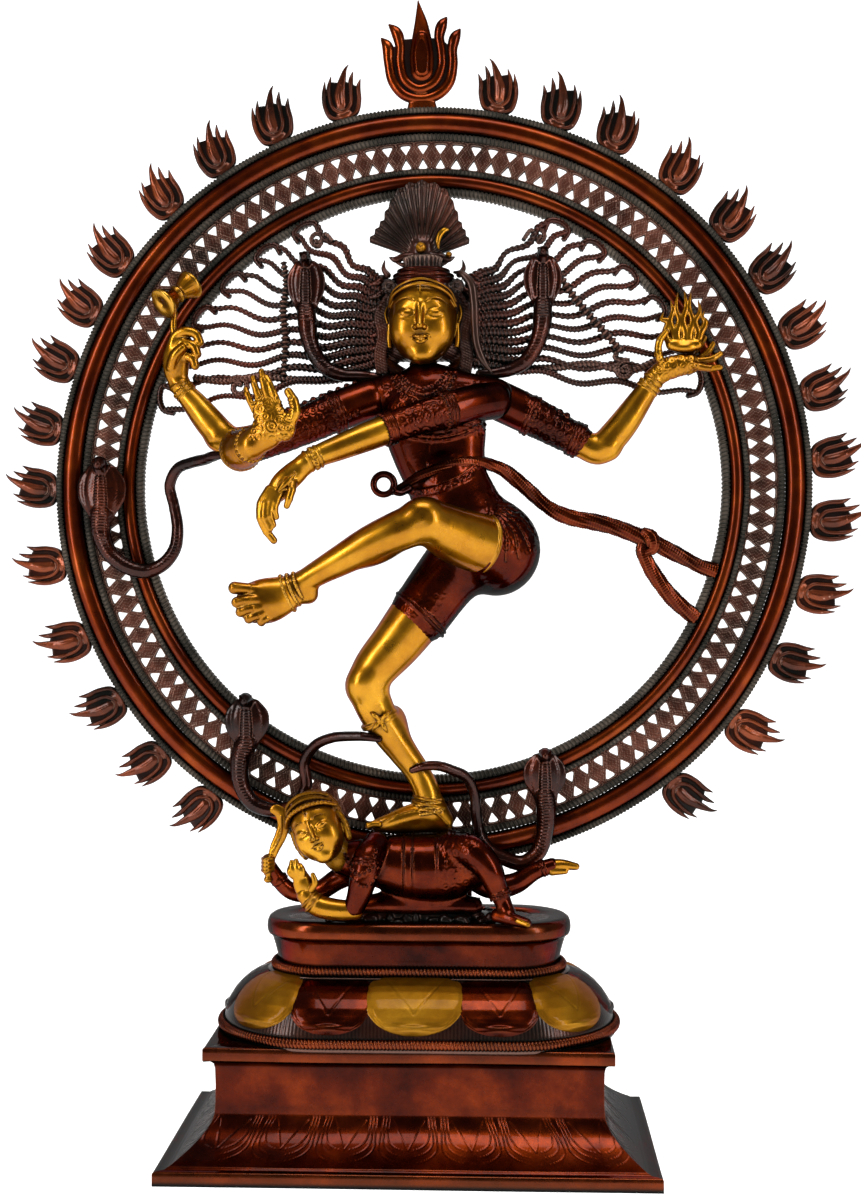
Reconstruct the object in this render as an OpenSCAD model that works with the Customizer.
// Standing dancer statue inside a flame-edged ring, on a lotus pedestal and a rectangular base.
// Millimetres, +Z up, front faces -Y. Origin: centre of the ring, at the level the base stands on.

/* [Base] */
// Width of the bottom band of the base
base_width = 440; // [380:1:500]
// Depth of the bottom band of the base
base_depth = 240; // [200:1:280]
// Height of the bottom band
base_band_height = 12; // [8:1:20]
// Width of the neck of the base
base_neck_width = 345; // [300:1:380]
// Depth of the neck of the base
base_neck_depth = 150; // [145:1:190]
// Height of the top face of the base
base_top = 110; // [90:1:130]
// Width of the top slab
slab_width = 361; // [340:1:400]
// Depth of the top slab
slab_depth = 190; // [180:1:220]
// Thickness of the cast walls
wall = 5; // [3:0.5:8]

/* [Pedestal] */
// Half length of the straight part of the lotus and the drum
straight_half = 85; // [60:1:110]
// Radius of the rounded ends at the lotus lip
lotus_lip_radius = 100; // [80:1:110]
// Radius of the rounded ends where the lotus meets the drum
lotus_neck_radius = 52; // [40:1:60]
// Level of the top face of the lotus
lotus_top = 166; // [150:1:180]
// Level of the top face of the drum
drum_top = 215; // [200:1:230]
// Depth of the locating spigot below the lotus
spigot_depth = 15; // [8:1:25]
// Running clearance around the spigot
spigot_clearance = 1; // [0.5:0.1:2]
// Thread diameter of the bolts that hold the drum down
bolt_diameter = 8; // [6:1:12]

/* [Ring] */
// Level of the ring centre
ring_level = 613.5; // [580:0.5:640]
// Depth position of the middle plane of the ring
ring_plane = 24; // [10:1:40]
// Outer radius of the ring
ring_radius = 356; // [340:1:370]
// Outer radius of the pierced band
lattice_outer = 324; // [315:1:335]
// Inner radius of the pierced band
lattice_inner = 297; // [285:1:305]
// Inner radius of the ring
ring_bore = 272; // [260:1:280]
// Depth of the rails front to back
rail_depth = 20; // [14:1:28]
// Thickness of the pierced band
lattice_depth = 8; // [5:1:12]
// Number of holes in each row of the pierced band
holes_per_row = 120; // [80:1:140]
// Width of one hole of the pierced band
hole_width = 10; // [6:0.5:12]
// Side to side lean of the ring, anticlockwise
ring_lean = 1.6; // [0:0.1:4]

/* [Flames] */
// Angles from the finial of the hand-set small flames on the right side
right_flame_angles = [11, 20, 29, 39.5, 50, 59.5, 68.5, 78, 87.5, 96.5, 107, 117.5, 129, 142];
// Angles from the finial of the hand-set small flames on the left side
left_flame_angles = [11, 21.5, 31, 41, 52.5, 61, 70, 79.5, 88.5, 99.5, 111, 122, 132.5, 142.5];
// Width of a small flame
flame_width = 41; // [30:1:48]
// Height of a small flame from the ring to its tip
flame_height = 51; // [40:1:60]
// Thickness of a small flame
flame_depth = 9; // [5:1:14]
// Height of the finial flame
finial_height = 98; // [80:1:110]
// Width of the finial flame
finial_width = 74; // [60:1:90]
// Thickness of the finial flame
finial_depth = 12; // [8:1:18]

/* [Hidden] */
// Sides of the balls that limbs and hair are hulled from
chain_sides = 10;
thin_sides = 8;
spigot_radius = 66;
rail_front = ring_plane - rail_depth / 2;
rail_back = ring_plane + rail_depth / 2;
base_shift = -16;
tier_shift = -11;

// ---- shared shapes ----

// One ball of a chain, given as [x, y, z, radius]
module ball(p, sides = chain_sides) {
  translate([p[0], p[1], p[2]]) sphere(r = p[3], $fn = sides);
}

// Rounded limb through a list of balls
module chain(points, sides = chain_sides) {
  for (i = [0:len(points) - 2]) {
    hull() {
      ball(points[i], sides);
      ball(points[i + 1], sides);
    }
  }
}

// Stack of rectangles [level, width, depth], each centred on the base
module rect_stack(levels) {
  n = len(levels);
  points = [for (l = levels, c = [[-1, -1], [1, -1], [1, 1], [-1, 1]])
    [base_shift + c[0] * l[1] / 2, c[1] * l[2] / 2, l[0]]];
  sides = [for (i = [0:n - 2], k = [0:3])
    [4 * i + k, 4 * (i + 1) + k, 4 * (i + 1) + (k + 1) % 4, 4 * i + (k + 1) % 4]];
  polyhedron(points, concat([[0, 1, 2, 3]], sides, [[4 * n - 1, 4 * n - 2, 4 * n - 3, 4 * n - 4]]));
}

// Solid with rounded ends and straight sides, from a profile of [radius, level] points
module racetrack(profile) {
  translate([tier_shift + straight_half, 0, 0]) rotate([0, 0, -90]) rotate_extrude(angle = 180) polygon(profile);
  translate([tier_shift - straight_half, 0, 0]) rotate([0, 0, 90]) rotate_extrude(angle = 180) polygon(profile);
  translate([tier_shift - straight_half, 0, 0]) rotate([90, 0, 90]) linear_extrude(2 * straight_half) polygon(profile);
  translate([tier_shift + straight_half, 0, 0]) rotate([90, 0, -90]) linear_extrude(2 * straight_half) polygon(profile);
}

// Places children in the ring plane, at an angle measured from the finial
module on_ring(angle) {
  translate([0, ring_plane, ring_level]) rotate([0, angle - ring_lean, 0]) children();
}

// Ring solid from a profile of [radius, depth] points
module ring_profile(profile) {
  translate([0, ring_plane, ring_level]) rotate([90, 0, 0]) rotate_extrude() polygon(profile);
}

// Round opening of the ring outside, used to trim whatever is seated on the rim
module ring_disc(radius) {
  translate([0, ring_plane + 40, ring_level]) rotate([90, 0, 0]) cylinder(h = 80, r = radius);
}

// ---- base and pedestal ----

module base_plinth() {
  t = wall;
  outer = [[0, base_width, base_depth], [base_band_height, base_width, base_depth],
    [base_band_height + 2, 414, 226], [28, 378, 196], [40, 355, 170], [51, base_neck_width, base_neck_depth],
    [92, base_neck_width, base_neck_depth], [98, slab_width, slab_depth], [base_top, slab_width, slab_depth]];
  inner = [[-1, base_width - 2 * t, base_depth - 2 * t], [8, base_width - 2 * t, base_depth - 2 * t],
    [28, 366, 184], [51, base_neck_width - 2 * t, base_neck_depth - 2 * t - 1],
    [92, base_neck_width - 2 * t, base_neck_depth - 2 * t - 1], [102, base_neck_width - 2 * t, base_neck_depth - 11]];
  hole = spigot_radius + spigot_clearance;
  color("saddlebrown") difference() {
    rect_stack(outer);
    rect_stack(inner);
    racetrack([[0, 90], [hole, 90], [hole, base_top + 1], [0, base_top + 1]]);
  }
}

module lotus_pedestal() {
  r = spigot_radius;
  n = lotus_neck_radius;
  profile = [[r - wall, base_top - spigot_depth], [r, base_top - spigot_depth], [r, base_top], [96, base_top],
    [lotus_lip_radius, 113], [lotus_lip_radius, 119], [96, 122], [94, 130], [89, 138], [81, 147], [71, 155],
    [60, 162], [n, lotus_top], [0, lotus_top], [0, lotus_top - 6], [n - 3, lotus_top - 6], [66, 151],
    [76, 143], [84, 133], [88, 124], [88, 118], [r - wall, 114]];
  color("peru") difference() {
    racetrack(profile);
    for (x = [-60, 60]) translate([tier_shift + x, 0, 150]) cylinder(h = 30, d = bolt_diameter + 1);
  }
}

module upper_drum() {
  n = lotus_neck_radius;
  profile = [[0, lotus_top], [n - 2, lotus_top], [n, lotus_top + 3], [n, lotus_top + 8], [n - 2, lotus_top + 10],
    [n + 1, 198], [n + 3, 201], [n + 3, drum_top - 3], [n + 1, drum_top], [0, drum_top],
    [0, drum_top - 6], [n - 5, drum_top - 6], [n - 6, lotus_top + 6], [0, lotus_top + 6]];
  color("saddlebrown") difference() {
    union() {
      racetrack(profile);
      for (x = [-60, 60]) translate([tier_shift + x, 0, lotus_top + 5]) cylinder(h = 20, r = 11);
    }
    for (x = [-60, 60]) translate([tier_shift + x, 0, lotus_top - 1]) cylinder(h = 18, d = bolt_diameter + 0.1);
  }
}

// Hexagon bolts from below, one solid each
module pedestal_bolts() {
  washer = 2;
  color("dimgray") for (x = [-60, 60]) translate([tier_shift + x, 0, 0]) {
    translate([0, 0, lotus_top - 6 - washer - 6]) cylinder(h = 6, d = 2 * bolt_diameter - 2, $fn = 6);
    translate([0, 0, lotus_top - 6 - washer - 0.1]) cylinder(h = 6 + washer + 14, d = bolt_diameter);
  }
}

// Round washers under the bolt heads
module pedestal_washers() {
  color("gray") for (x = [-60, 60]) translate([tier_shift + x, 0, lotus_top - 8]) difference() {
    cylinder(h = 2, d = 20);
    translate([0, 0, -1]) cylinder(h = 4, d = bolt_diameter + 0.4);
  }
}

// Cast foot behind the dwarf that carries the ring
module aureole_foot() {
  color("saddlebrown") difference() {
    union() {
      translate([-38, rail_front, drum_top]) cube([76, rail_depth, 60]);
      translate([-46, rail_front - 2, drum_top]) cube([92, rail_depth + 8, 8]);
    }
    ring_disc(ring_radius);
  }
}

// ---- ring ----

module aureole_outer_rail() {
  h = rail_depth / 2;
  r = ring_radius;
  i = lattice_outer;
  color("saddlebrown") ring_profile([[r, -5], [r, 5], [r - 3, 7], [r - 6, 6], [r - 9, h - 2], [r - 14, h],
    [r - 19, h - 1], [r - 24, 7], [r - 27, 8], [i + 1, 7], [i, 5], [i, -5], [i + 1, -7], [r - 27, -8],
    [r - 24, -7], [r - 19, 1 - h], [r - 14, -h], [r - 9, 2 - h], [r - 6, -6], [r - 3, -7]]);
}

module aureole_inner_rail() {
  h = rail_depth / 2;
  o = lattice_inner;
  b = ring_bore;
  color("saddlebrown") ring_profile([[o, -5], [o, 5], [o - 1, 7], [o - 4, 7], [o - 6, 6], [o - 8, h - 2],
    [o - 11, h], [o - 14, h - 1], [o - 17, 6], [b, 5], [b, -5], [o - 17, -6], [o - 14, 1 - h], [o - 11, -h],
    [o - 8, 2 - h], [o - 6, -6], [o - 4, -7], [o - 1, -7]]);
}

// Pierced band with two rows of three-sided holes
module aureole_lattice() {
  pitch = 360 / holes_per_row;
  mid = (lattice_outer + lattice_inner) / 2;
  o = lattice_outer - 2.5;
  i = lattice_inner + 2.5;
  w = hole_width / 2;
  color("darkolivegreen") translate([0, ring_plane + lattice_depth / 2, ring_level]) rotate([90, 0, 0])
    linear_extrude(lattice_depth) difference() {
      circle(r = lattice_outer);
      circle(r = lattice_inner);
      for (k = [0:holes_per_row - 1]) rotate(k * pitch) {
        polygon([[o, -w], [o, w], [mid + 1, 0]]);
        polygon([[i, -w], [mid - 1, 0], [i, w]]);
      }
    }
}

// Outline of a five-tongued flame, given by half width and height above the rim
module flame_shape(w, h) {
  h2 = w / 2;
  polygon([[-0.34 * h2, -0.1 * h], [0.34 * h2, -0.1 * h], [0.42 * h2, 0.06 * h], [0.62 * h2, 0.14 * h],
    [0.86 * h2, 0.3 * h], [0.92 * h2, 0.46 * h], [h2, 0.62 * h], [0.98 * h2, 0.68 * h], [0.78 * h2, 0.5 * h],
    [0.7 * h2, 0.58 * h], [0.66 * h2, 0.74 * h], [0.52 * h2, 0.88 * h], [0.46 * h2, 0.86 * h],
    [0.48 * h2, 0.62 * h], [0.3 * h2, 0.66 * h], [0.12 * h2, 0.84 * h], [0, h],
    [-0.12 * h2, 0.84 * h], [-0.3 * h2, 0.66 * h], [-0.48 * h2, 0.62 * h], [-0.46 * h2, 0.86 * h],
    [-0.52 * h2, 0.88 * h], [-0.66 * h2, 0.74 * h], [-0.7 * h2, 0.58 * h], [-0.78 * h2, 0.5 * h],
    [-0.98 * h2, 0.68 * h], [-h2, 0.62 * h], [-0.92 * h2, 0.46 * h], [-0.86 * h2, 0.3 * h],
    [-0.62 * h2, 0.14 * h], [-0.42 * h2, 0.06 * h]]);
}

// A flame seated on the rim at an angle from the finial
module flame(angle, w, h, depth) {
  difference() {
    on_ring(angle) translate([0, depth / 2, ring_radius]) rotate([90, 0, 0])
      linear_extrude(depth) flame_shape(w, h);
    ring_disc(ring_radius);
  }
}

// Small flame number i, on side -1 (left in the front view) or 1
module small_flame(i, side) {
  angle = side > 0 ? right_flame_angles[i - 1] : left_flame_angles[i - 1];
  color("sienna") flame(side * angle, flame_width, flame_height, flame_depth);
}

module finial_flame() {
  color("sienna") flame(0, finial_width, finial_height, finial_depth);
}

// ---- dancer ----

module torso() {
  color("saddlebrown") {
    chain([[-54, -10, 695, 19], [-22, -14, 690, 24], [28, -16, 690, 24], [56, -14, 694, 20]]);
    chain([[-14, -17, 668, 25], [26, -18, 668, 25], [22, -16, 632, 22], [16, -15, 612, 23], [24, -14, 580, 28],
      [48, -18, 558, 38]]);
    chain([[-14, -17, 668, 25], [-2, -16, 634, 22], [0, -14, 608, 22], [14, -12, 576, 27], [40, -14, 548, 30]]);
    chain([[4, -16, 632, 22], [14, -15, 600, 24]]);
    chain([[-6, -12, 690, 15], [-6, -13, 712, 14]]);
    hull() {
      ball([60, -10, 553, 38]);
      ball([50, -10, 550, 40]);
      ball([30, -12, 545, 30]);
    }
  }
}

module head() {
  color("goldenrod") {
    hull() {
      ball([-6, -16, 772, 28]);
      ball([-6, -20, 752, 24]);
      ball([-6, -26, 734, 11]);
    }
    chain([[-6, -13, 712, 13.5], [-6, -14, 732, 14], [-6, -10, 770, 30]]);
    chain([[-6, -12, 790, 30], [-6, -10, 806, 26], [-7, -8, 820, 20]]);
    chain([[-34, -8, 780, 9], [-38, -6, 750, 8], [-40, -4, 718, 6]], thin_sides);
    chain([[22, -8, 780, 9], [27, -6, 750, 8], [34, -4, 718, 6]], thin_sides);
    chain([[-38, -10, 745, 5], [-38, -10, 730, 5]], thin_sides);
  }
}

// Pleated fan crest
module crown_fan() {
  ribs = 9;
  cx = -9.5;
  color("darkolivegreen") {
    hull() {
      ball([cx, -6, 836, 19]);
      ball([cx, -6, 824, 21]);
    }
    for (k = [0:ribs - 1]) {
      a = -52 + 104 * k / (ribs - 1);
      hull() {
        ball([cx + 8 * sin(a), -6, 834, 6]);
        ball([cx + 50 * sin(a) * 0.92, -6, 840 + 50 * cos(a), 6.5]);
      }
    }
    hull() {
      ball([cx - 36, -5, 868, 4]);
      ball([cx + 36, -5, 868, 4]);
      ball([cx, -5, 888, 4]);
      ball([cx, -5, 838, 5]);
    }
  }
}

// Lock of hair from the head out to the ring bore, at start level z0 and end angle from the top
module lock(x0, z0, angle, thick) {
  y1 = ring_plane - 4;
  r1 = ring_bore + 1;
  x1 = r1 * sin(angle);
  z1 = ring_level + r1 * cos(angle);
  chain([[x0, 2, z0, thick], [0.65 * x0 + 0.35 * x1, 6, 0.62 * z0 + 0.38 * z1 + 5, thick],
    [0.3 * x0 + 0.7 * x1, 12, 0.3 * z0 + 0.7 * z1 - 4, thick], [x1, y1, z1, thick]], thin_sides);
}

module hair_left() {
  color("darkolivegreen") {
    chain([[-36, 0, 800, 6], [-42, 2, 770, 6], [-42, 2, 730, 6]], thin_sides);
    for (k = [0:8]) lock(-42, 800 - 8.5 * k, -24.5 - 4.6 * k, 3.4);
    chain([[-42, 2, 732, 5], [-100, 8, 708, 5], [-160, 12, 712, 5], [-200, 14, 706, 5], [-205, 14, 720, 4],
      [-220, 16, 722, 4]], thin_sides);
    chain([[-137, 12, 820, 4], [-137, 10, 780, 4], [-137, 8, 710, 4]], thin_sides);
  }
}

module hair_right() {
  color("darkolivegreen") {
    chain([[24, 0, 800, 6], [32, 2, 770, 6], [32, 2, 730, 6]], thin_sides);
    for (k = [0:8]) lock(32, 800 - 8.5 * k, 24.5 + 4.2 * k, 3.4);
    chain([[32, 2, 732, 5], [80, 8, 730, 5], [130, 12, 728, 5], [180, 14, 716, 5], [190, 14, 728, 4],
      [214, 16, 744, 4]], thin_sides);
    chain([[123, 12, 826, 4], [150, 12, 770, 4], [178, 12, 718, 4]], thin_sides);
  }
}

module front_right_arm() {
  color("goldenrod") {
    chain([[-58, -16, 690, 17], [-108, -28, 668, 15], [-160, -42, 645, 13], [-170, -48, 640, 13],
      [-160, -76, 640, 11], [-149, -94, 641, 9]]);
    hull() {
      ball([-149, -96, 646, 9]);
      ball([-134, -98, 672, 8]);
      ball([-154, -98, 672, 8]);
    }
    chain([[-137, -100, 676, 5], [-142, -100, 704, 4]], thin_sides);
    chain([[-145, -100, 676, 5], [-148, -100, 703, 4]], thin_sides);
    chain([[-152, -100, 674, 5], [-155, -100, 698, 4]], thin_sides);
    chain([[-157, -99, 670, 5], [-162, -99, 690, 3.6]], thin_sides);
    chain([[-134, -102, 658, 6], [-126, -106, 680, 4]], thin_sides);
  }
}

module front_left_arm() {
  color("goldenrod") {
    chain([[56, -20, 688, 18], [20, -44, 676, 17], [-8, -56, 668, 16], [-36, -68, 658, 14], [-72, -80, 642, 12],
      [-104, -89, 628, 9]]);
    chain([[-104, -89, 628, 9.5], [-120, -92, 612, 9.5], [-131, -94, 597, 8]]);
    chain([[-134, -96, 597, 4.5], [-143, -97, 575, 3.8], [-142, -97, 556, 3]], thin_sides);
    chain([[-130, -95, 594, 4.5], [-136, -96, 574, 3.8], [-136, -96, 560, 3]], thin_sides);
    chain([[-122, -95, 606, 5], [-126, -100, 590, 4], [-128, -102, 582, 3.5]], thin_sides);
  }
}

module rear_right_arm() {
  color("goldenrod") {
    chain([[-58, 0, 696, 17], [-110, 1, 676, 16], [-165, 0, 656, 14], [-190, -1, 655, 14.5], [-214, -1, 681, 12],
      [-232, -2, 704, 9]]);
    chain([[-232, -2, 704, 9], [-234, -3, 722, 9], [-231, -4, 736, 9]]);
    chain([[-222, -4, 736, 4], [-224, -4, 750, 3.6], [-230, -4, 770, 3.2]], thin_sides);
    chain([[-240, -4, 736, 4], [-245, -4, 752, 3.6], [-240, -4, 766, 3.2]], thin_sides);
    chain([[-230, -8, 738, 4], [-222, -10, 748, 3.6], [-214, -10, 746, 3.2]], thin_sides);
  }
}

module rear_left_arm() {
  color("goldenrod") {
    chain([[60, -4, 692, 18], [100, 0, 672, 17], [134, 2, 654, 15], [158, 2, 645, 14.5], [184, 1, 678, 12],
      [206, -1, 708, 9]]);
    chain([[206, -1, 708, 9], [220, -3, 722, 9], [240, -4, 727, 8]]);
    chain([[240, -2, 728, 4.5], [254, -2, 730, 4], [262, -2, 738, 3.2]], thin_sides);
    chain([[238, -8, 726, 4.5], [252, -9, 724, 4], [266, -9, 722, 3.2]], thin_sides);
    chain([[214, -6, 724, 4.5], [212, -8, 738, 4], [220, -8, 746, 3.2]], thin_sides);
  }
}

// Hourglass hand drum held in the rear right hand
module hand_drum() {
  color("goldenrod") translate([-235, -1, 790]) rotate([0, 52, 0]) rotate([12, 0, 0]) {
    cylinder(h = 15, r1 = 5, r2 = 11);
    translate([0, 0, -15]) cylinder(h = 15, r1 = 12, r2 = 5);
    translate([0, 0, -1]) cylinder(h = 2, r = 6.5);
    translate([0, 0, 15]) cylinder(h = 2, r = 11.5);
    translate([0, 0, -17]) cylinder(h = 2, r = 12.5);
  }
}

module palm_flame() {
  color("goldenrod") translate([234, -5, 741]) rotate([90, 0, 0]) linear_extrude(9, center = true)
    translate([0, 5]) flame_shape(37, 48);
}

module standing_leg() {
  color("goldenrod") {
    chain([[24, -14, 536, 29], [-6, -17, 498, 27], [-30, -20, 467, 24], [-60, -23, 435, 20], [-52, -20, 412, 19],
      [-40, -15, 388, 18], [-24, -11, 357, 15], [-12, -9, 334, 12.5]]);
    chain([[-12, -9, 334, 12.5], [-6, -9, 312, 12], [-2, -8, 306, 11]]);
    chain([[4, -8, 307, 11], [-22, -16, 306, 10], [-44, -24, 301, 7.5], [-54, -26, 300, 6]]);
  }
}

module raised_leg() {
  color("goldenrod") {
    chain([[58, -26, 556, 32], [28, -52, 562, 29], [4, -78, 574, 21], [-6, -84, 578, 18], [-36, -84, 562, 17],
      [-62, -82, 547, 16], [-90, -78, 531, 13.5], [-116, -75, 517, 12]]);
    chain([[-112, -74, 512, 11], [-130, -78, 509, 14], [-146, -82, 504, 16], [-153, -84, 503, 15]]);
    chain([[-154, -88, 516, 7], [-174, -90, 516, 5]], thin_sides);
    chain([[-156, -90, 507, 6], [-171, -92, 504, 5]], thin_sides);
    chain([[-150, -89, 495, 7], [-161, -91, 489, 5]], thin_sides);
  }
}

module waist_sash() {
  color("saddlebrown") {
    chain([[44, -10, 638, 5], [67, -2, 627, 5], [93, 2, 606, 5], [116, 4, 587, 6], [149, 6, 579, 6],
      [189, 8, 568, 7], [204, 10, 561, 8], [228, 13, 549, 6], [249, 16, 538, 6], [268, 19, 532, 6]], thin_sides);
    chain([[196, 9, 556, 5], [201, 10, 540, 5], [214, 12, 520, 6], [230, 15, 502, 6], [246, 20, 490, 6]], thin_sides);
  }
}

// ---- cobras ----

// Flat hood centred on a point, with a small head at the top
module hood(x, y, z, w, h) {
  hull() {
    ball([x - w * 0.30, y, z + h * 0.18, w * 0.18], thin_sides);
    ball([x + w * 0.30, y, z + h * 0.18, w * 0.18], thin_sides);
    ball([x, y, z - h * 0.38, w * 0.15], thin_sides);
    ball([x, y, z + h * 0.34, w * 0.16], thin_sides);
  }
  hull() {
    ball([x, y - 2, z + h * 0.34, w * 0.17], thin_sides);
    ball([x, y - 11, z + h * 0.40, w * 0.12], thin_sides);
  }
}

module hair_cobra_left() {
  color("darkolivegreen") {
    hood(-116, 0, 795, 36, 46);
    chain([[-116, 0, 786, 11], [-115, 0, 764, 8], [-114, 0, 750, 6.5], [-108, -1, 731, 6], [-96, -2, 720, 5.5],
      [-84, -2, 715, 5.5], [-68, -4, 715, 5], [-52, -5, 712, 5]], thin_sides);
  }
}

module hair_cobra_right() {
  color("darkolivegreen") {
    hood(104, 0, 798, 36, 46);
    chain([[104, 0, 788, 11], [104, 0, 766, 8], [103, 0, 752, 6.5], [98, -1, 738, 6], [89, -2, 728, 5.5],
      [76, -2, 720, 5.5], [65, -2, 718, 5], [48, -4, 716, 5]], thin_sides);
  }
}

module arm_cobra() {
  color("saddlebrown") {
    hood(-309, 5, 606, 44, 56);
    chain([[-192, -44, 636, 5], [-203, -30, 634, 5], [-218, -18, 633, 4.5], [-235, -8, 628, 4.5],
      [-244, -1, 615, 4.5], [-240, 2, 593, 4.5], [-236, 2, 571, 5], [-240, 2, 553, 5.5], [-252, 1, 539, 5.5],
      [-265, 1, 533, 5.5], [-283, 1, 536, 5.5], [-302, 3, 550, 5.5], [-309, 4, 568, 6.5],
      [-310, 5, 588, 9]], thin_sides);
  }
}

module leg_cobra_left() {
  color("darkolivegreen") {
    hood(-172, 5, 390, 38, 46);
    chain([[-50, -26, 380, 4.5], [-66, -24, 380, 4.5], [-88, -16, 380, 4.5], [-107, -8, 371, 4.5],
      [-118, -1, 354, 4.5], [-116, 1, 333, 4.5], [-126, 2, 316, 4.5], [-148, 3, 311, 5], [-165, 4, 313, 5.5],
      [-178, 4, 329, 6], [-180, 4, 346, 6.5], [-176, 5, 368, 9]], thin_sides);
  }
}

module leg_cobra_right() {
  color("darkolivegreen") {
    hood(106, 5, 340, 36, 44);
    chain([[-12, -22, 352, 4.5], [2, -22, 354, 4.5], [19, -17, 350, 4.5], [33, -10, 343, 4.5], [40, -4, 328, 4.5],
      [42, -1, 309, 4.5], [46, 0, 287, 5], [54, 1, 274, 5.5], [69, 1, 266, 6], [86, 2, 262, 6],
      [100, 3, 270, 6], [108, 4, 294, 6.5], [107, 4, 316, 9]], thin_sides);
  }
}

// ---- dwarf ----

module dwarf_body() {
  color("saddlebrown") {
    chain([[-74, -30, 264, 20], [-44, -28, 266, 27], [-10, -26, 262, 33], [26, -28, 262, 28], [40, -32, 270, 16]]);
    chain([[-46, -46, 278, 13], [-54, -54, 256, 11], [-66, -54, 236, 9], [-78, -54, 226, 8], [-98, -54, 226, 7]]);
    chain([[22, -36, 280, 16], [48, -50, 274, 14], [60, -52, 252, 11], [68, -50, 238, 8], [74, -58, 228, 7]]);
    chain([[40, -18, 250, 13], [66, -16, 240, 11], [92, -16, 260, 9], [110, -16, 262, 7], [128, -16, 259, 5]]);
    chain([[-66, -24, 250, 13], [-96, -22, 236, 9], [-124, -24, 236, 8], [-146, -28, 266, 7]]);
    hull() {
      ball([-60, -24, 224, 9]);
      ball([50, -24, 224, 9]);
      ball([-10, -30, 232, 20]);
    }
  }
}

module dwarf_head() {
  color("goldenrod") {
    hull() {
      ball([-100, -32, 296, 23]);
      ball([-94, -36, 284, 17]);
    }
    chain([[-92, -30, 284, 13], [-80, -30, 272, 13]]);
    chain([[-114, -28, 304, 15], [-122, -24, 296, 12]]);
    chain([[-78, -28, 296, 10], [-72, -28, 282, 9]], thin_sides);
    chain([[-106, -40, 300, 17], [-98, -44, 288, 12]]);
    chain([[-110, -30, 312, 8], [-96, -30, 318, 8], [-84, -28, 308, 8]], thin_sides);
    chain([[-104, -30, 270, 6], [-112, -36, 254, 5], [-104, -42, 240, 5]], thin_sides);
  }
}

module dwarf_sword() {
  color("goldenrod") {
    chain([[-148, -31, 262, 3.5], [-146, -31, 278, 3.5], [-145, -31, 290, 4.5], [-142, -31, 302, 5],
      [-136, -31, 312, 5], [-130, -31, 321, 3]], thin_sides);
    chain([[-153, -31, 277, 2.5], [-139, -31, 275, 2.5]], thin_sides);
    chain([[-148, -31, 260, 4], [-148, -31, 256, 4]], thin_sides);
    chain([[-146, -31, 278, 3.5], [-144, -31, 296, 4.5]], thin_sides);
  }
}

// ---- drawing ----
base_plinth();
lotus_pedestal();
upper_drum();
pedestal_bolts();
pedestal_washers();
aureole_foot();
aureole_outer_rail();
aureole_lattice();
aureole_inner_rail();
finial_flame();
torso();
head();
crown_fan();
hair_left();
hair_right();
front_right_arm();
front_left_arm();
rear_right_arm();
rear_left_arm();
hand_drum();
palm_flame();
raised_leg();
standing_leg();
waist_sash();
hair_cobra_left();
hair_cobra_right();
arm_cobra();
leg_cobra_left();
leg_cobra_right();
dwarf_body();
dwarf_head();
dwarf_sword();
small_flame(1, -1);  // flame_l01
small_flame(2, -1);  // flame_l02
small_flame(3, -1);  // flame_l03
small_flame(4, -1);  // flame_l04
small_flame(5, -1);  // flame_l05
small_flame(6, -1);  // flame_l06
small_flame(7, -1);  // flame_l07
small_flame(8, -1);  // flame_l08
small_flame(9, -1);  // flame_l09
small_flame(10, -1);  // flame_l10
small_flame(11, -1);  // flame_l11
small_flame(12, -1);  // flame_l12
small_flame(13, -1);  // flame_l13
small_flame(14, -1);  // flame_l14
small_flame(1, 1);  // flame_r01
small_flame(2, 1);  // flame_r02
small_flame(3, 1);  // flame_r03
small_flame(4, 1);  // flame_r04
small_flame(5, 1);  // flame_r05
small_flame(6, 1);  // flame_r06
small_flame(7, 1);  // flame_r07
small_flame(8, 1);  // flame_r08
small_flame(9, 1);  // flame_r09
small_flame(10, 1);  // flame_r10
small_flame(11, 1);  // flame_r11
small_flame(12, 1);  // flame_r12
small_flame(13, 1);  // flame_r13
small_flame(14, 1);  // flame_r14
